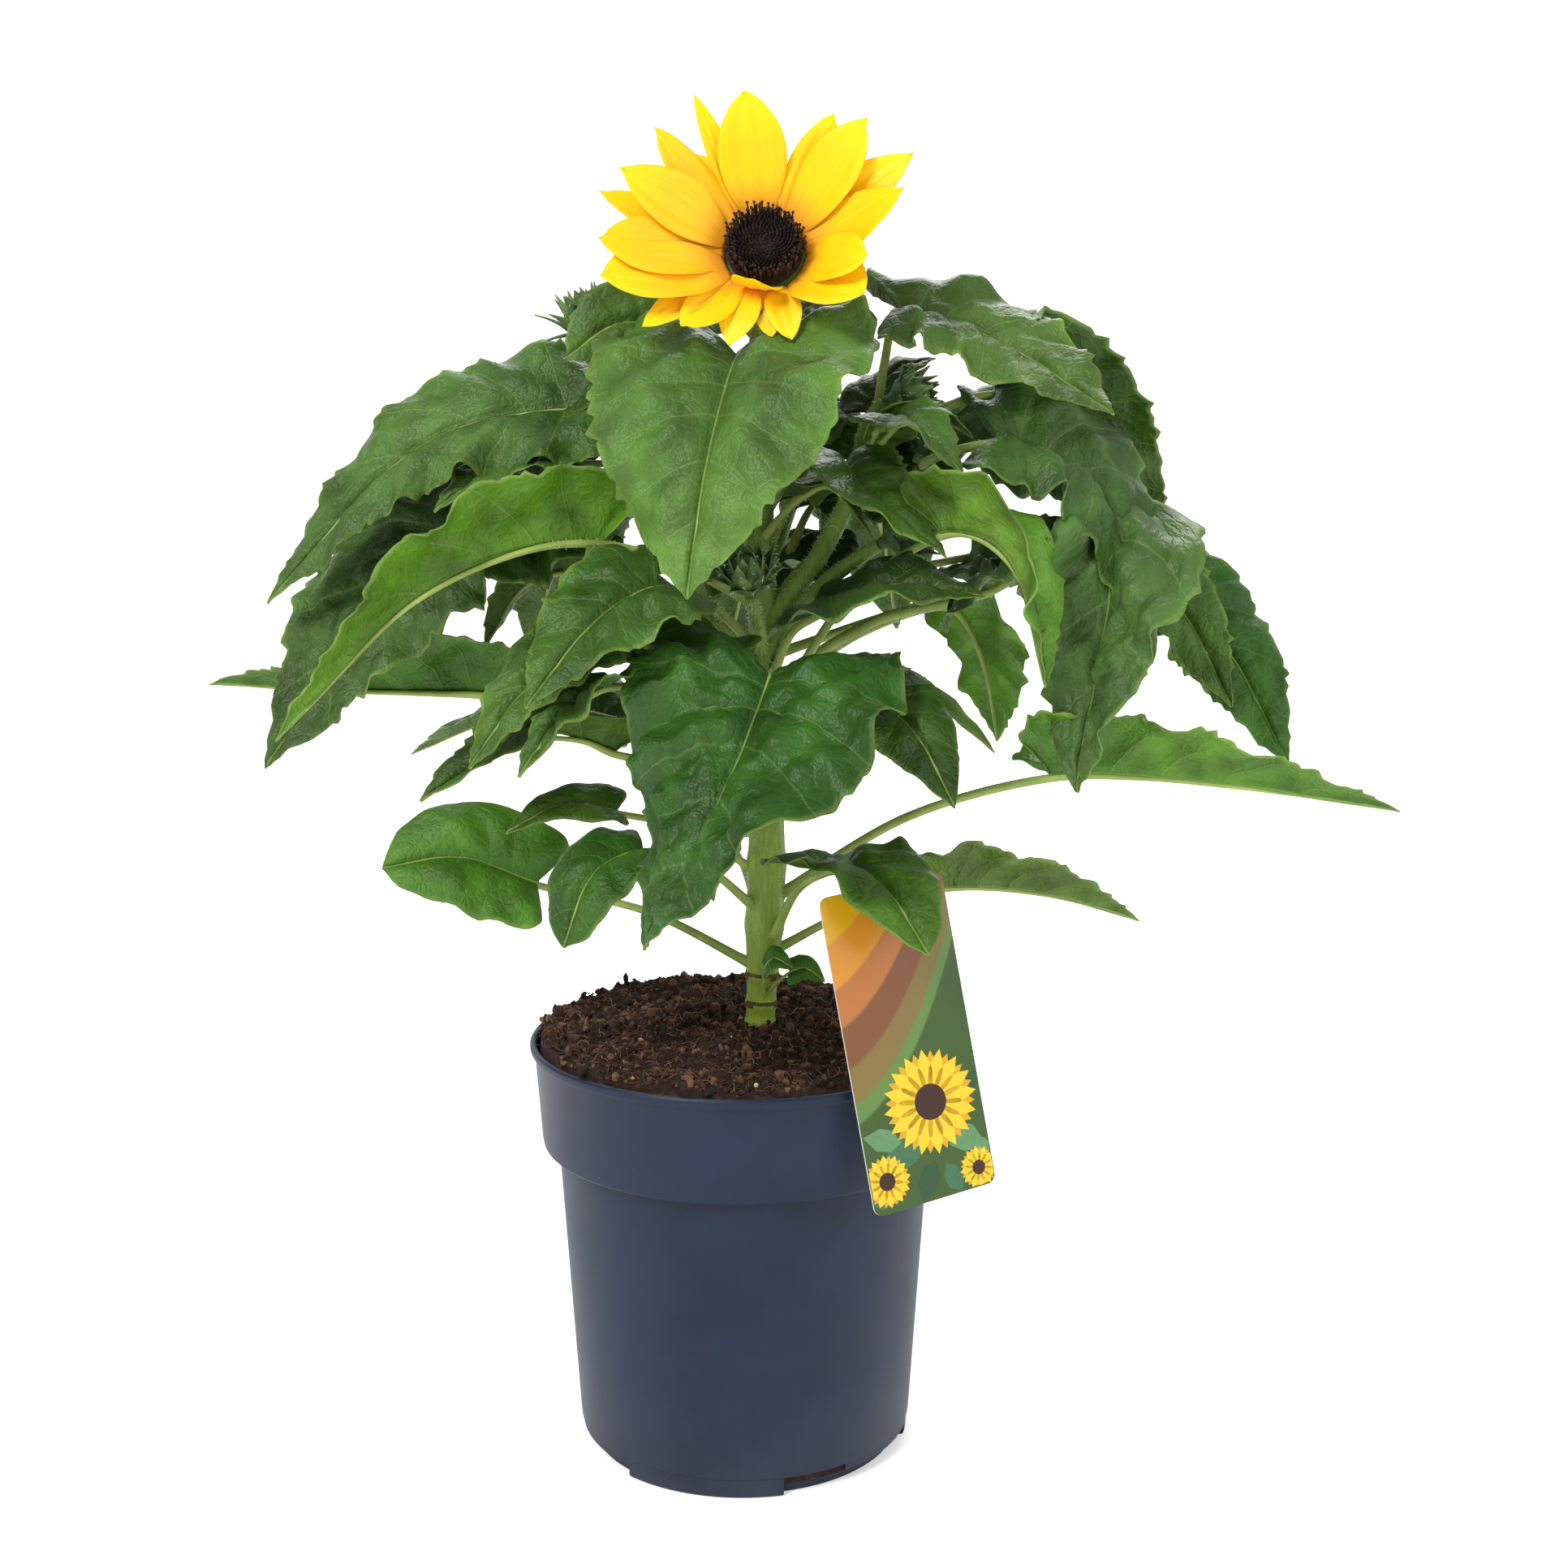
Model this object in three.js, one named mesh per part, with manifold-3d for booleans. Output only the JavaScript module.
// A potted dwarf sunflower. Millimetres, Z up, -Y is the front.
// The origin is the middle of the pot's flat underside.
import * as THREE from "three";
import { mergeVertices } from "three/addons/utils/BufferGeometryUtils.js";
import Module from "manifold-3d";

const wasm = await Module();
wasm.setup();

// Driving sizes of the pot
const POT_HEIGHT = 184;
const RIM_RADIUS = 95;
const COLLAR_FOOT = 137.5;
const BODY_TOP_RADIUS = 83.2;
const FOOT_RADIUS = 73.7;
const WALL = 1.5;
const SOIL_TOP = 181;
const GAP = 0.35;

// Driving sizes of the flower: the middle of its face and how far it looks up
const FLOWER = new THREE.Vector3(10, -25, 522);
const FLOWER_TILT = 27;
const DISC_RADIUS = 16;

const root = new THREE.Group();
const placed = [];
const rad = (d) => (d * Math.PI) / 180;
const v3 = (x, y, z) => new THREE.Vector3(x, y, z);
const mix = (a, b, t) => a + (b - a) * t;

// ---- shared helpers ----

function solid(geometry) {
  const g = geometry.clone();
  g.deleteAttribute("normal");
  g.deleteAttribute("uv");
  const m = mergeVertices(g, 1e-4);
  const build = (order) =>
    new wasm.Manifold(
      new wasm.Mesh({
        numProp: 3,
        vertProperties: m.attributes.position.array,
        triVerts: new Uint32Array(order),
      }),
    );
  const made = build(m.index.array);
  return made.volume() > 0 ? made : build([...m.index.array].reverse());
}

function geometryOf(made) {
  const m = made.getMesh();
  const v = new Float32Array(m.numVert * 3);
  for (let i = 0; i < m.numVert; i++) {
    v.set(m.vertProperties.subarray(i * m.numProp, i * m.numProp + 3), i * 3);
  }
  const g = new THREE.BufferGeometry();
  g.setAttribute("position", new THREE.BufferAttribute(v, 3));
  g.setIndex(new THREE.BufferAttribute(new Uint32Array(m.triVerts), 1));
  return g;
}

function add(name, geometry, color, roughness = 0.6) {
  const material = new THREE.MeshStandardMaterial({ color, roughness, metalness: 0 });
  const mesh = new THREE.Mesh(geometry, material);
  mesh.name = name;
  mesh.geometry = geometryOf(solid(geometry));
  root.add(mesh);
  placed.push(solid(geometry));
  return mesh;
}

// A closed skin through rings of equal count; the ends close on a middle point or on an apex.
function skin(rings, apex) {
  const k = rings[0].length;
  const pts = rings.flat();
  const faces = [];
  for (let i = 0; i + 1 < rings.length; i++) {
    for (let j = 0; j < k; j++) {
      const a = i * k + j;
      const b = i * k + ((j + 1) % k);
      faces.push(a, b, b + k, a, b + k, a + k);
    }
  }
  const foot = pts.length;
  pts.push(rings[0].reduce((s, p) => s.add(p), v3(0, 0, 0)).multiplyScalar(1 / k));
  const tip = pts.length;
  const last = rings[rings.length - 1];
  pts.push(apex || last.reduce((s, p) => s.add(p), v3(0, 0, 0)).multiplyScalar(1 / k));
  for (let j = 0; j < k; j++) {
    const b = (j + 1) % k;
    faces.push(foot, b, j);
    faces.push(tip, (rings.length - 1) * k + j, (rings.length - 1) * k + b);
  }
  const g = new THREE.BufferGeometry();
  g.setAttribute("position", new THREE.Float32BufferAttribute(pts.flatMap((p) => p.toArray()), 3));
  g.setIndex(faces);
  return g;
}

// A tapering limb through its knots, each [x, y, z, radius].
function limb(knots, sides = 8, steps = 2, fat = 0) {
  const curve = new THREE.CatmullRomCurve3(knots.map((q) => v3(q[0], q[1], q[2])), false, "centripetal");
  const n = (knots.length - 1) * steps;
  const rings = [];
  let side = v3(0, 1, 0);
  for (let i = 0; i <= n; i++) {
    const t = i / n;
    const at = curve.getPoint(t);
    const dir = curve.getTangent(t);
    const f = t * (knots.length - 1);
    const q = Math.min(Math.floor(f), knots.length - 2);
    const r = mix(knots[q][3], knots[q + 1][3], f - q) + fat;
    side = side.sub(dir.clone().multiplyScalar(side.dot(dir))).normalize();
    const up = v3().crossVectors(dir, side);
    const ring = [];
    for (let j = 0; j < sides; j++) {
      const a = (j / sides) * 2 * Math.PI;
      ring.push(at.clone().addScaledVector(side, r * Math.cos(a)).addScaledVector(up, r * Math.sin(a)));
    }
    rings.push(ring);
  }
  return skin(rings);
}

// Where a limb stands at a height, with its radius there.
function onLimb(knots, z) {
  const i = Math.max(0, Math.min(knots.length - 2, knots.findIndex((q) => q[2] > z) - 1));
  const t = Math.max(0, Math.min(1, (z - knots[i][2]) / (knots[i + 1][2] - knots[i][2])));
  return [0, 1, 2, 3].map((c) => mix(knots[i][c], knots[i + 1][c], t));
}

// ---- pot: thin shell with a tall collar, a flat floor and three cut-outs at the foot ----

const shell = [
  [0, 0],
  [FOOT_RADIUS - 1, 0],
  [FOOT_RADIUS, 1],
  [FOOT_RADIUS + 0.9, 9],
  [BODY_TOP_RADIUS, COLLAR_FOOT],
  [89.6, COLLAR_FOOT + 0.4],
  [91, COLLAR_FOOT + 3],
  [93.4, POT_HEIGHT - 4],
  [RIM_RADIUS, POT_HEIGHT - 3],
  [RIM_RADIUS, POT_HEIGHT - 0.6],
  [RIM_RADIUS - 0.6, POT_HEIGHT],
  [92.4, POT_HEIGHT],
  [91.9, POT_HEIGHT - 4],
  [89.5, COLLAR_FOOT + 3],
  [88.6, COLLAR_FOOT + 2],
  [BODY_TOP_RADIUS - WALL, COLLAR_FOOT],
  [FOOT_RADIUS - WALL + 0.9, 9],
  [FOOT_RADIUS - WALL, 3],
  [0, 3],
];
const lathe = (profile, n = 40) =>
  new THREE.LatheGeometry(profile.map((p) => new THREE.Vector2(p[0], p[1])), n).rotateX(Math.PI / 2);
let pot = solid(lathe(shell));

// A sector block that cuts one notch: from radius 68 outwards, between two bearings, up to a height.
function notch(from, to, top) {
  const shape = new THREE.Shape();
  const n = 5;
  for (let i = 0; i <= n; i++) {
    const a = rad(mix(from, to, i / n));
    shape[i ? "lineTo" : "moveTo"](69 * Math.cos(a), 69 * Math.sin(a));
  }
  for (let i = n; i >= 0; i--) {
    const a = rad(mix(from, to, i / n));
    shape.lineTo(80 * Math.cos(a), 80 * Math.sin(a));
  }
  const block = new THREE.ExtrudeGeometry(shape, { depth: top + 2, bevelEnabled: false });
  return solid(block.translate(0, 0, -2));
}
for (const turn of [0, 120, 240]) {
  pot = pot.subtract(notch(turn - 76, turn - 53, 9));
  pot = pot.subtract(notch(turn - 53.5, turn - 12, 5.5));
}
add("pot", geometryOf(pot), "#353f50", 0.5);

// ---- soil: fills the pot and mounds a little towards the stem ----

const soilSide = [
  [0, 3.4],
  [66, 3.4],
  [FOOT_RADIUS - WALL + 0.4, 9],
  [BODY_TOP_RADIUS - WALL - 0.5, COLLAR_FOOT],
  [88.4, COLLAR_FOOT + 3.4],
  [91.1, POT_HEIGHT - 10],
];
const soilRings = [86, 70, 52, 34, 22];
const SOIL_SIDES = 24;
function soilHeight(r, a) {
  if (r < 25) return SOIL_TOP;
  const mound = 2.6 * Math.sin((Math.PI * (r - 22)) / 76);
  const wave = 1.1 * Math.sin(3 * a + r * 0.11) * Math.cos(2 * a - 0.6);
  return SOIL_TOP + mound + wave;
}
const soilLevels = [];
for (const [r, z] of soilSide.slice(1)) {
  soilLevels.push([...Array(SOIL_SIDES).keys()].map((j) => {
    const a = (j / SOIL_SIDES) * 2 * Math.PI;
    return v3(r * Math.cos(a), r * Math.sin(a), z);
  }));
}
for (const r of soilRings) {
  soilLevels.push([...Array(SOIL_SIDES).keys()].map((j) => {
    const a = (j / SOIL_SIDES) * 2 * Math.PI;
    return v3(r * Math.cos(a), r * Math.sin(a), soilHeight(r, a));
  }));
}
add("soil", skin(soilLevels), "#3a261c", 0.95);

// ---- stem and branches: knots are [x, y, z, radius] ----

const MAIN = [
  [7, 0, SOIL_TOP + GAP, 6.3],
  [8, 0, 205, 6.6],
  [9, 0, 232, 8],
  [10, 0, 255, 8.2],
  [10, 2, 300, 7],
  [9, 4, 350, 6.4],
  [8, 6, 400, 5.6],
  [8, 8, 440, 4.8],
  [8, 6, 470, 4.6],
  [9, 1, 494, 5.2],
  [10, -8, 512, 6.4],
];
const RIGHT = [
  [12, 2, 366, 4.4],
  [33, 0, 397, 4.2],
  [49, 0, 430, 3.7],
  [52, 0, 448, 3.3],
  [60, -3, 462, 2.9],
];
const RIGHT_LOW = [
  [12, -2, 358, 3.8],
  [36, -6, 386, 3.5],
  [52, -10, 398, 3.1],
  [58, -12, 402, 2.8],
];
const LEFT = [
  [6, 8, 378, 4],
  [-18, 22, 412, 3.7],
  [-42, 20, 452, 3.2],
  [-60, 8, 484, 2.8],
];
const LEFT_LOW = [
  [6, 6, 350, 3.4],
  [-22, 15, 372, 3.2],
  [-48, 19, 392, 2.8],
  [-57, 19, 398, 2.6],
];
const BACK = [
  [9, 6, 360, 4],
  [14, 34, 396, 3.6],
  [24, 52, 426, 3.1],
  [28, 58, 440, 2.7],
];
const FRONT = [
  [9, 1, 352, 3],
  [7, -20, 368, 2.8],
  [4, -36, 382, 2.5],
];
const STEM_GREEN = "#8ea650";
add("main_stem", limb(MAIN, 10, 2), STEM_GREEN);
const stemHull = solid(limb(MAIN, 10, 2, GAP));
let grown = stemHull;
for (const [name, knots] of Object.entries({
  branch_right: RIGHT,
  branch_right_low: RIGHT_LOW,
  branch_left: LEFT,
  branch_left_low: LEFT_LOW,
  branch_back: BACK,
  branch_front: FRONT,
})) {
  const parts = solid(limb(knots)).subtract(grown).decompose();
  parts.sort((a, b) => b.volume() - a.volume());
  add(name, geometryOf(parts[0]), STEM_GREEN);
  grown = grown.add(solid(limb(knots, 8, 2, GAP)));
}

// ---- flower: everything is turned from a face-up frame to the flower's own tilt ----

const toFlower = new THREE.Matrix4()
  .makeTranslation(FLOWER)
  .multiply(new THREE.Matrix4().makeRotationX(rad(90 - FLOWER_TILT)));
const discProfile = [
  [0, -3],
  [DISC_RADIUS - 1, -3],
  [DISC_RADIUS - 0.2, 0],
  [DISC_RADIUS + 0.6, 3.5],
  [DISC_RADIUS - 3, 5.2],
  [9, 3.6],
  [0, 3],
];
add("flower_disc", lathe(discProfile, 24).applyMatrix4(toFlower), "#24120c", 0.9);

// Ray petals: [bearing round the disc, reach from its middle, width, lean forward, curl of the end]
const PETALS = [
  [98, 63, 27, 36, 2],
  [60, 60, 18, 30, 0],
  [45, 66, 24, 36, 2],
  [28, 70, 18, 28, 0],
  [7, 64, 24, 34, 4],
  [-20, 50, 22, 44, 0],
  [-38, 52, 29, 34, -20],
  [-74, 41, 14, 30, -22],
  [-88, 38, 11, 24, -24],
  [-98, 30, 20, 52, 20],
  [-110, 43, 16, 22, -20],
  [-128, 52, 17, 20, -6],
  [-143, 62, 15, 14, 0],
  [-157, 71, 27, 24, 2],
  [-173, 72, 25, 25, 2],
  [167, 70, 15, 20, 0],
  [158, 65, 23, 33, 2],
  [138, 66, 16, 27, 2],
  [127, 48, 15, 24, 0],
  [117, 66, 10, 33, 0],
];
function petal([bearing, reach, width, lean, curl]) {
  const a = rad(bearing);
  const out = v3(Math.cos(a), Math.sin(a), 0);
  const side = v3(-Math.sin(a), Math.cos(a), 0);
  const foot = DISC_RADIUS + 0.8;
  const span = reach - foot * Math.cos(rad(lean));
  const stations = [[0, 0.3], [0.38, 0.95], [0.75, 0.82]];
  const at = (s) => {
    const tilt = rad(lean + curl * s);
    const away = foot + span * s * Math.cos(tilt);
    return out.clone().multiplyScalar(away).add(v3(0, 0, -1.5 + span * s * Math.sin(tilt)));
  };
  const rings = stations.map(([s, w]) => {
    const p = at(s);
    const tilt = rad(lean + curl * s);
    const up = v3(0, 0, 1).multiplyScalar(Math.cos(tilt)).addScaledVector(out, -Math.sin(tilt));
    const half = (w * width) / 2;
    return [
      p.clone().addScaledVector(side, half).addScaledVector(up, half * 0.22),
      p.clone().addScaledVector(up, 0.5),
      p.clone().addScaledVector(side, -half).addScaledVector(up, half * 0.22),
      p.clone().addScaledVector(up, -0.7),
    ].reverse();
  });
  return solid(skin(rings, at(1)));
}
const petalRing = lathe([
  [DISC_RADIUS + 0.9, -3],
  [DISC_RADIUS + 2.6, -2.6],
  [DISC_RADIUS + 2.6, -0.4],
  [DISC_RADIUS + 0.9, -0.8],
  [DISC_RADIUS + 0.9, -3],
], 24);
let rays = solid(petalRing);
for (const row of PETALS) rays = rays.add(petal(row));
add("ray_petals", geometryOf(rays).applyMatrix4(toFlower), "#ffd60a", 0.55);

const cupProfile = [
  [0, -15],
  [7, -15],
  [15, -11],
  [20.5, -5.5],
  [21, -3.6],
  [17, -3.4],
  [0, -3.4],
];
const cup = solid(lathe(cupProfile, 20).applyMatrix4(toFlower)).subtract(stemHull);
add("flower_cup", geometryOf(cup), "#5b7a3a");

// ---- buds: [limb, tip direction, size]; each is a short neck and a closed head ----

function bud(knots, along, length, radius) {
  const end = knots[knots.length - 1];
  const dir = v3(...along).normalize();
  const turn = new THREE.Quaternion().setFromUnitVectors(v3(0, 0, 1), dir);
  const base = v3(end[0], end[1], end[2]).addScaledVector(dir, 0.5);
  const profile = [
    [0, 0],
    [2.2, 0],
    [2.4, 0.2 * length],
    [0.75 * radius, 0.3 * length],
    [radius, 0.55 * length],
    [0.72 * radius, 0.85 * length],
    [0, length],
  ];
  const g = lathe(profile, 12).applyQuaternion(turn).translate(base.x, base.y, base.z);
  return geometryOf(solid(g).subtract(grown));
}
const BUD_GREEN = "#4c6140";
add("bud_right", bud(RIGHT, [0.9, -0.4, 0.15], 24, 10), BUD_GREEN);
add("bud_right_low", bud(RIGHT_LOW, [1, -0.35, 0.5], 23, 11), BUD_GREEN);
add("bud_left", bud(LEFT, [-0.45, -0.1, 1], 27, 11), BUD_GREEN);
add("bud_left_low", bud(LEFT_LOW, [-0.8, 0.3, 0.5], 22, 9), BUD_GREEN);
add("bud_back", bud(BACK, [0.3, 0.5, 0.9], 26, 11), BUD_GREEN);
add("bud_front", bud(FRONT, [-0.1, -0.7, 1], 24, 10), BUD_GREEN);

// ---- label: a thin card that leans on the pot's rim ----

const CARD_WIDTH = 58;
const CARD_HEIGHT = 132;
const CARD_THICK = 0.8;
const CARD_CENTRE = v3(69, -74, 202);
const CARD_BEARING = 26;
const CARD_LEAN = 11;
const CARD_ROLL = 6;
const card = new THREE.Shape();
const cw = CARD_WIDTH / 2;
const ch = CARD_HEIGHT / 2;
const cr = 4;
card.moveTo(-cw + cr, -ch);
card.lineTo(cw - cr, -ch);
card.quadraticCurveTo(cw, -ch, cw, -ch + cr);
card.lineTo(cw, ch - cr);
card.quadraticCurveTo(cw, ch, cw - cr, ch);
card.lineTo(-cw + cr, ch);
card.quadraticCurveTo(-cw, ch, -cw, ch - cr);
card.lineTo(-cw, -ch + cr);
card.quadraticCurveTo(-cw, -ch, -cw + cr, -ch);
const plate = new THREE.ExtrudeGeometry(card, { depth: CARD_THICK, bevelEnabled: false, curveSegments: 3 });
plate.translate(0, 0, -CARD_THICK / 2);
plate.rotateZ(rad(CARD_ROLL));
plate.rotateX(rad(90 - CARD_LEAN));
plate.rotateZ(rad(CARD_BEARING));
plate.translate(CARD_CENTRE.x, CARD_CENTRE.y, CARD_CENTRE.z);
add("label_card", plate, "#b5803f", 0.4);

// ---- leaves ----
// Each row: name, limb it grows from, height of its foot, bearing and how far it turns by the tip;
// then reach from the limb and height of the blade's base, crest and tip; full width;
// how steeply the left and right halves fold up, seen from the stem; roll at the base and the tip;
// backward sweep of the basal lobes; and, on a few, how blunt the end is.
const LEAVES = [
  ["leaf_front_top", MAIN, 484, -107, -2, [34, 481], [70, 438], [90, 385], 114, [10, 14], [0, 4], 0.6],
  ["leaf_front_low", MAIN, 340, -87, -24, [56, 352], [96, 315], [130, 253],
    112, [6, 10], [-6, 10], 0.65, 0.3],
  ["leaf_front_small", MAIN, 350, -122, -8, [30, 362], [50, 355], [64, 336], 34, [5, 5], [0, 5], 0.3],
  ["leaf_front_right", MAIN, 234, -54, 0, [44, 264], [82, 265], [116, 241],
    56, [14, 24], [0, 14], 0.6, 0.5],
  ["leaf_right_top", RIGHT, 442, 24, -52, [17, 500], [54, 489], [112, 457], 62, [10, 14], [34, 24], 0.3],
  ["leaf_right_rear", RIGHT, 438, 28, 2, [68, 467], [118, 444], [168, 402], 84, [10, 14], [-46, -54], 0.35],
  ["leaf_left_top", MAIN, 452, 181, 1, [70, 460], [142, 446], [214, 377], 66, [4, 20], [-42, -36], 0.3],
  ["leaf_left_broad", MAIN, 398, 164, 20, [87, 424], [149, 400], [216, 306],
    104, [14, 8], [-46, -36], 0.45],
  ["leaf_left_bright", MAIN, 378, -158, 4, [72, 397], [136, 384], [213, 321], 68, [76, 10], [0, 8], 0.6],
  ["leaf_left_long", MAIN, 300, 175, 2, [123, 334], [182, 335], [253, 338], 66, [62, 16], [0, 0], 0.3],
  ["leaf_left_mid", MAIN, 290, -161, 0, [68, 315], [97, 325], [152, 299], 50, [44, 24], [6, -34], 0.3],
  ["leaf_left_round", MAIN, 218, 172, 5, [102, 250], [136, 262], [170, 258],
    54, [12, 22], [-52, -46], 0.2, 1],
  ["leaf_left_oval", MAIN, 246, -140, 0, [66, 277], [92, 270], [108, 241],
    42, [6, 6], [-16, -16], 0.15, 0.8],
  ["leaf_left_narrow", MAIN, 262, -164, 0, [66, 289], [90, 293], [115, 282], 26, [8, 18], [-24, -30], 0.2],
  ["leaf_left_droop", MAIN, 352, -150, 0, [74, 362], [108, 349], [138, 315], 46, [12, 18], [-18, -20], 0.3],
  ["leaf_left_small", MAIN, 330, -138, 0, [84, 352], [106, 345], [131, 321], 30, [30, 20], [0, -14], 0.3],
  ["leaf_left_inner", MAIN, 360, -135, 0, [60, 387], [94, 375], [131, 343], 56, [8, 14], [-26, -18], 0.5],
  ["leaf_left_curl", LEFT_LOW, 394, 176, -4, [22, 389], [42, 386], [66, 355], 36, [56, 18], [0, 4], 0.3],
  ["leaf_left_shoulder", MAIN, 424, -174, 4, [82, 447], [108, 450], [140, 430],
    40, [14, 24], [-20, -20], 0.3],
  ["leaf_left_bud", MAIN, 470, -166, 4, [44, 493], [62, 494], [84, 480], 38, [8, 8], [-76, -70], 0.3, 0.4],
  ["leaf_right_inner", MAIN, 348, -52, 22, [36, 376], [70, 390], [106, 386], 54, [10, 16], [22, 30], 0.3],
  ["leaf_right_crook", RIGHT, 424, -100, 48, [14, 437], [34, 424], [62, 400], 44, [18, 22], [4, 16], 0.4],
  ["leaf_right_bud", RIGHT, 440, -58, 20, [26, 452], [44, 448], [62, 428], 34, [16, 26], [20, 24], 0.3],
  ["leaf_right_folded", MAIN, 334, -27, -4, [82, 410], [112, 404], [134, 350], 56, [20, 76], [0, 10], 0.5],
  ["leaf_right_big", MAIN, 344, 1, -18, [98, 382], [144, 404], [136, 298],
    92, [18, 22], [14, 6], 0.45, 0.2],
  ["leaf_right_shoulder", RIGHT, 418, 4, -4, [66, 446], [104, 432], [136, 352],
    78, [12, 18], [36, 38], 0.4],
  ["leaf_right_outer", MAIN, 376, 22, -12, [156, 398], [196, 374], [217, 326], 52, [16, 24], [44, 50], 0.3],
  ["leaf_right_far", MAIN, 354, 30, -12, [198, 386], [240, 352], [264, 292], 66, [10, 14], [50, 54], 0.2],
  ["leaf_right_long", MAIN, 250, 2, -3, [125, 301], [198, 298], [277, 287], 70, [14, 66], [4, 4], 0.35],
  ["leaf_right_low", MAIN, 224, 14, 2, [82, 247], [130, 242], [182, 225], 48, [30, 64], [0, 0], 0.6],
  ["leaf_right_oval", MAIN, 320, -44, 0, [58, 340], [84, 330], [108, 300], 46, [8, 10], [24, 22], 0.3],
  ["leaf_right_thin", MAIN, 328, -20, 0, [50, 342], [78, 336], [104, 317], 24, [20, 24], [10, 10], 0.3],
  ["leaf_right_yellow", MAIN, 338, 36, 2, [106, 377], [128, 356], [142, 312], 62, [8, 10], [6, 8], 0.5],
  ["leaf_back_top", MAIN, 462, 122, -8, [58, 474], [104, 460], [140, 402], 84, [16, 12], [0, 6], 0.5],
  ["leaf_back_right", MAIN, 420, 62, 6, [66, 430], [124, 418], [182, 350], 86, [12, 20], [4, -8], 0.5],
  ["leaf_back_left", MAIN, 410, 138, -6, [68, 424], [126, 412], [184, 342], 88, [18, 12], [-4, 8], 0.5],
  ["leaf_back_mid", BACK, 402, 96, 8, [54, 396], [96, 382], [126, 322], 78, [14, 14], [0, 0], 0.5],
  ["leaf_back_low_left", MAIN, 276, 146, 4, [84, 316], [142, 318], [200, 296], 62, [20, 26], [-6, 4], 0.4],
  ["leaf_back_low_right", MAIN, 286, 68, -4, [82, 322], [138, 322], [194, 290], 66, [24, 18], [6, -4], 0.4],
  ["leaf_back_foot", MAIN, 236, 106, 3, [62, 262], [100, 264], [136, 240], 50, [14, 18], [0, 0], 0.4],
];

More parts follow.
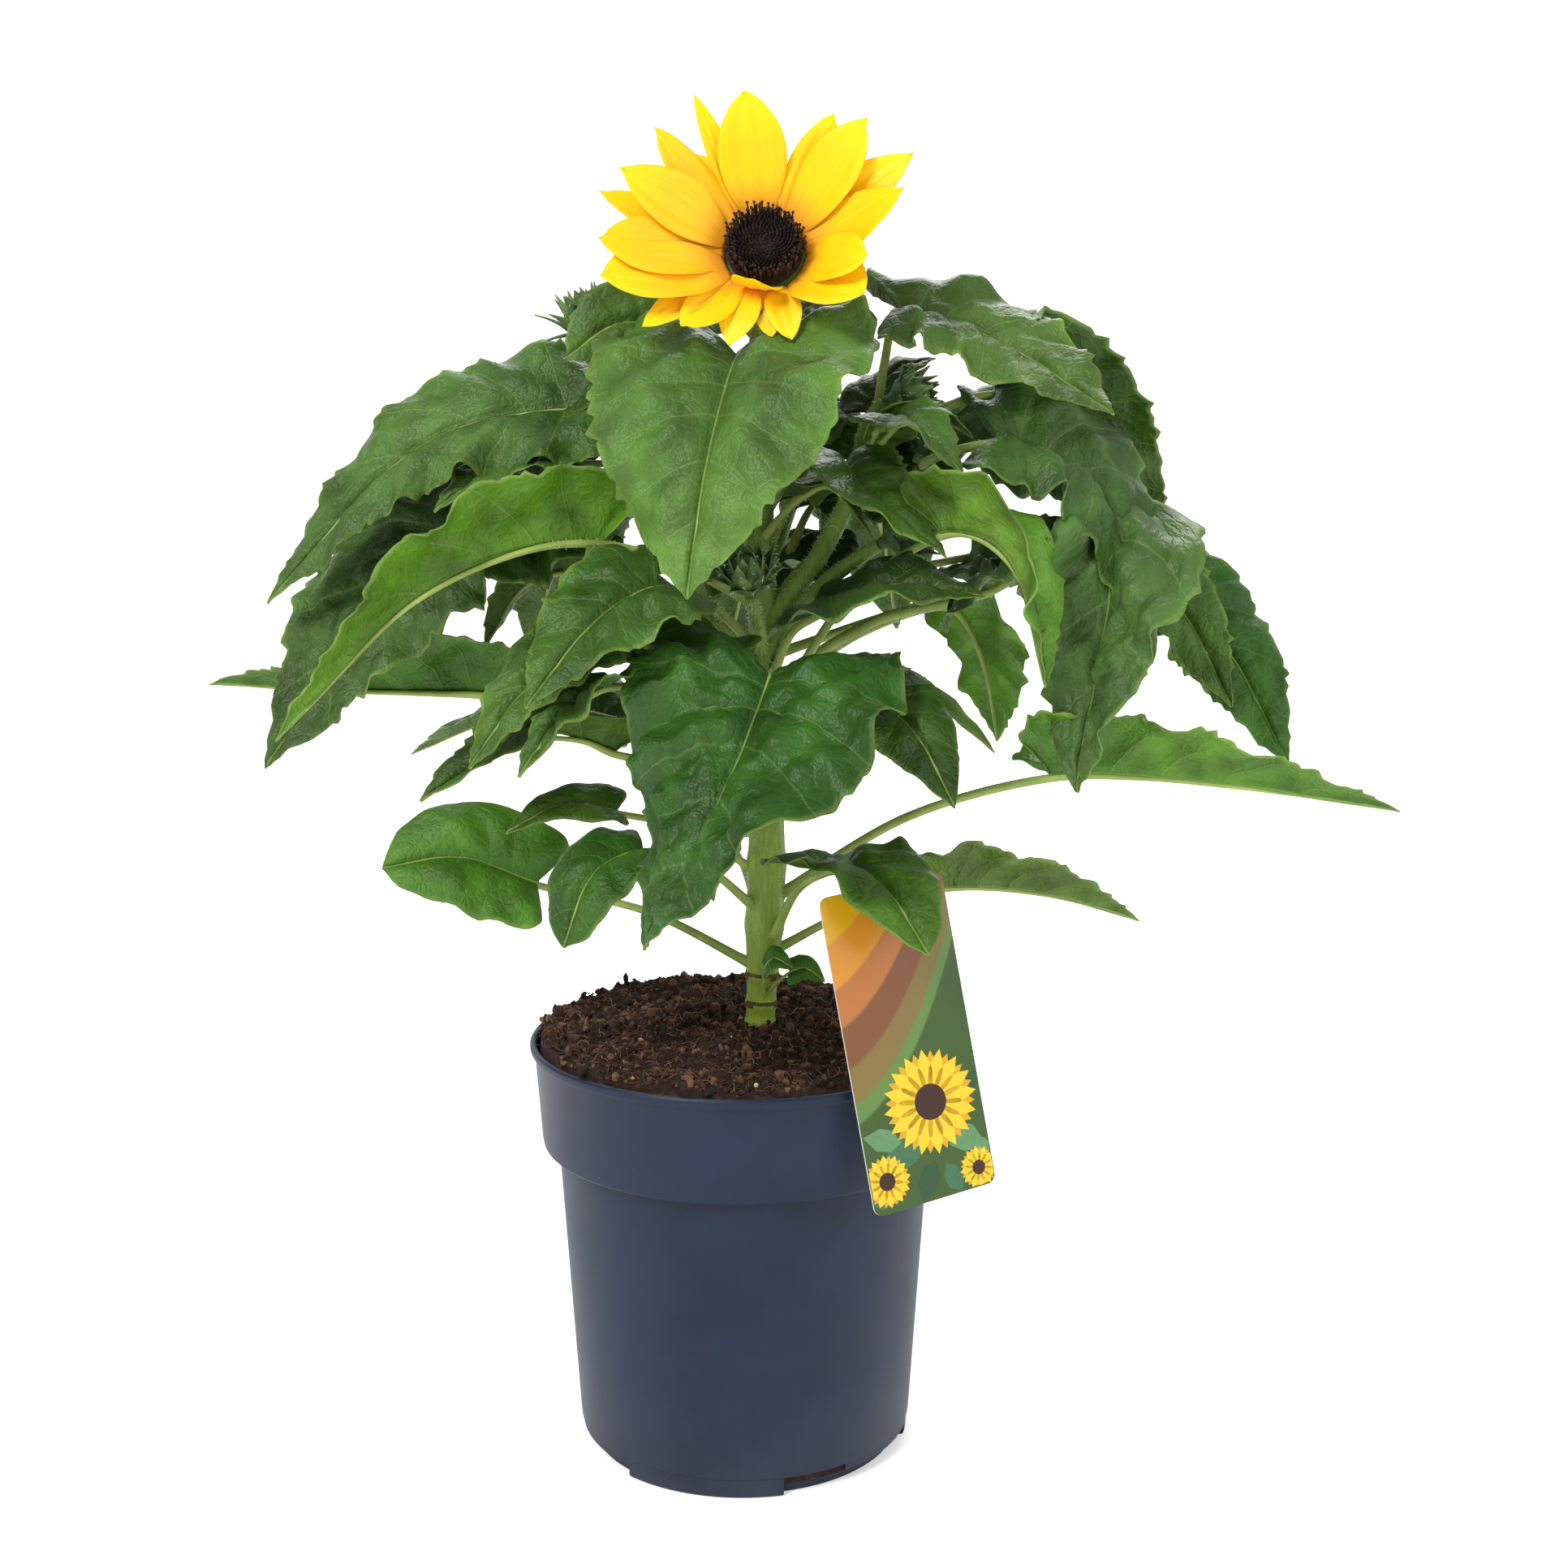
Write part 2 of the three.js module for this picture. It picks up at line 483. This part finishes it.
// Stations along the blade, each with its share of the half width and of the sweep.
const BLADE = [
  [0, 0.1, 0],
  [0.1, 0.78, 1],
  [0.26, 1, 0.35],
  [0.44, 0.88, 0.1],
  [0.62, 0.64, 0],
  [0.79, 0.38, 0],
  [0.92, 0.15, 0],
];
function leaf(row, nudge, fat = 0) {
  const [, knots, height, bearing, turn, base, crest, tip, width, fold, roll, lobe, blunt = 0] = row;
  const foot = onLimb(knots, height);
  const spot = (share, [r, z], lift) => {
    const a = rad(bearing + nudge.turn + turn * share);
    return v3(foot[0] + r * Math.cos(a), foot[1] + r * Math.sin(a), z + lift);
  };
  const start = spot(0, [foot[3] + 2.2 + nudge.out, height], 0);
  const half = spot(0, [mix(foot[3] + 2, base[0], 0.45), mix(height, base[1], 0.62)], nudge.lift * 0.3);
  const knotsOfMid = [
    start,
    half,
    spot(0, base, nudge.lift * 0.7),
    spot(0.45, crest, nudge.lift),
    spot(1, tip, nudge.lift),
  ];
  const mid = new THREE.CatmullRomCurve3(knotsOfMid, false, "centripetal");
  const stations = [
    [0, 0, 0],
    [0.25, 0, 0],
    ...BLADE.map(([v, w, s]) => {
      const round = Math.sqrt(1 - (v * 1.02) ** 4);
      return [0.5 + v * 0.5, v > 0.4 ? mix(w, round, blunt) : w, s];
    }),
  ];
  const ring = ([t, w, s]) => {
    const at = mid.getPoint(t);
    const ahead = mid.getTangent(t);
    const v = Math.max(0, t * 2 - 1);
    const level = v3().crossVectors(v3(0, 0, 1), ahead).normalize();
    const upright = v3().crossVectors(ahead, level);
    const lean = rad(mix(roll[0], roll[1], v));
    const side = level.clone().multiplyScalar(Math.cos(lean)).addScaledVector(upright, Math.sin(lean));
    const up = v3().crossVectors(ahead, side);
    const stalk = mix(2.1, 1.1, v) + width * 0.008;
    const wide = Math.max((w * nudge.size * width) / 2, stalk) + fat;
    const back = s * lobe * nudge.size * width * 0.3;
    const edge = (sign, f) => {
      const a = rad(f * mix(1, 0.7, v));
      const out = side.clone().multiplyScalar(sign * Math.cos(a)).addScaledVector(up, Math.sin(a));
      const top = up.clone().multiplyScalar(Math.cos(a)).addScaledVector(side, -sign * Math.sin(a));
      const rim = at.clone().addScaledVector(out, wide).addScaledVector(ahead, -back);
      const between = at.clone().add(rim).multiplyScalar(0.5).addScaledVector(top, 0.45 * stalk + fat);
      return [rim, between];
    };
    const [leftRim, leftTop] = edge(1, w ? fold[0] : 0);
    const [rightRim, rightTop] = edge(-1, w ? fold[1] : 0);
    const crown = at.clone().addScaledVector(up, 0.5 * stalk + fat);
    const keel = at.clone().addScaledVector(up, -0.9 * stalk - fat);
    return [leftRim, leftTop, crown, rightTop, rightRim, keel];
  };
  return skin(stations.map(ring), mid.getPoint(1).addScaledVector(mid.getTangent(1), fat));
}

// A leaf is swung or lifted by small steps until it clears everything already in place.
const nudges = [];
for (const size of [1, 0.9, 0.8]) {
  for (const out of [0, 1.2, 2.6]) {
    for (const turn of [0, 1, -1, 2, -2, 3, -3, 4.5, -4.5, 6, -6, 8, -8, 11, -11]) {
      for (const lift of [0, 2, -2, 4, -4, 6, -6, 9, -9, 13, -13]) {
        const cost = out * 0.8 + Math.abs(turn) + Math.abs(lift) * 0.6 + (1 - size) * 60;
        nudges.push({ size, out, turn, lift, cost });
      }
    }
  }
}
nudges.sort((a, b) => a.cost - b.cost);
const near = (a, b) => [0, 1, 2].every((c) => a.min[c] < b.max[c] && b.min[c] < a.max[c]);
for (const row of LEAVES) {
  let chosen = null;
  for (const nudge of nudges) {
    const grownLeaf = solid(leaf(row, nudge, GAP / 2));
    const box = grownLeaf.boundingBox();
    const clears = (o) => !near(box, o.boundingBox()) || grownLeaf.intersect(o).volume() < 1e-4;
    if (placed.every(clears)) {
      chosen = nudge;
      break;
    }
  }
  if (!chosen) throw new Error(row[0] + " does not clear its neighbours");
  add(row[0], leaf(row, chosen), "#3f6b35", 0.6).userData = chosen;
}

export default root;
